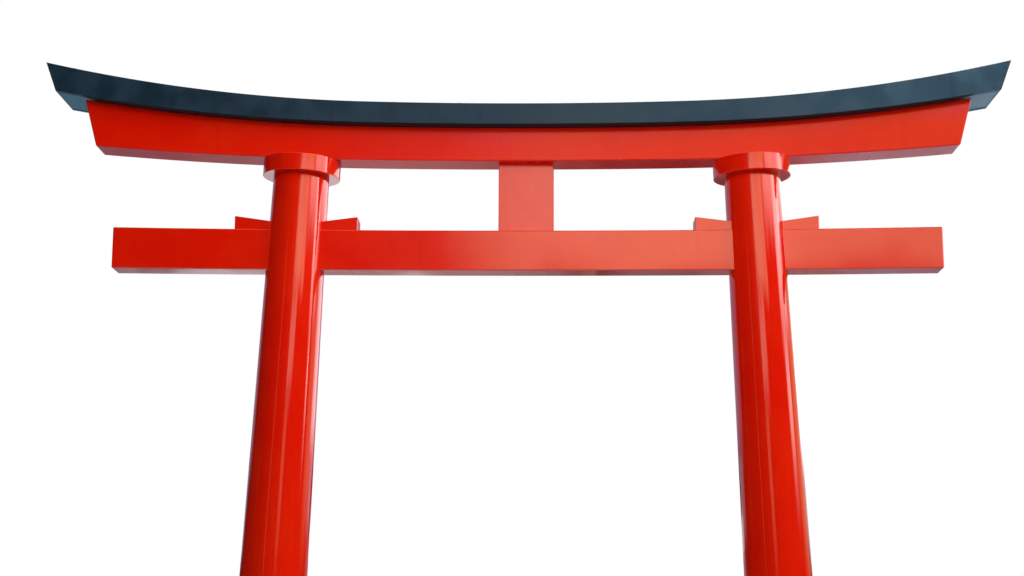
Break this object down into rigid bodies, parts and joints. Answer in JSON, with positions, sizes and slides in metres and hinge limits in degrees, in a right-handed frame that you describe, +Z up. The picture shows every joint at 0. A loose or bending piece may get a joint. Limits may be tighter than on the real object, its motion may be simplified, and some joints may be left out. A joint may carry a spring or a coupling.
{
  "type": "torii gate",
  "caption": "Red timber gate of two leaning round pillars, a tie beam, a short strut and a double lintel whose ends sweep up under dark sheet metal.",
  "frame": {"origin": "on the ground, midway between the two pillars", "axes": "+Z up, X along the beams, Y through the gate with the front at -Y"},
  "size_m": [12.405, 1.3, 8.368],
  "materials": {
    "vermilion_paint": "glossy vermilion paint over timber",
    "soffit_paint": "blue-grey satin paint over timber",
    "dark_sheet": "dark slate sheet metal, satin, slightly weathered",
    "black_lacquer": "black lacquered boards",
    "band_metal": "black painted hoop",
    "stone": "bush hammered pale granite"
  },
  "bodies": {
    "root": {"base_stone_left": "stone", "base_stone_right": "stone", "root_wrap_left": "black_lacquer", "root_wrap_right": "black_lacquer", "root_band_left": "band_metal", "root_band_right": "band_metal", "pillar_left": "vermilion_paint", "pillar_right": "vermilion_paint", "capital_ring_left": "vermilion_paint", "capital_ring_right": "vermilion_paint", "tie_beam": "vermilion_paint", "wedge_left_outer": "vermilion_paint", "wedge_left_inner": "vermilion_paint", "wedge_right_inner": "vermilion_paint", "wedge_right_outer": "vermilion_paint", "centre_strut": "vermilion_paint", "lower_lintel": "vermilion_paint", "upper_lintel": "soffit_paint", "cover_sheet_left": "dark_sheet", "cover_sheet_middle": "dark_sheet", "cover_sheet_right": "dark_sheet", "end_plate_left": "dark_sheet", "end_plate_right": "dark_sheet"}
  },
  "joints": []
}
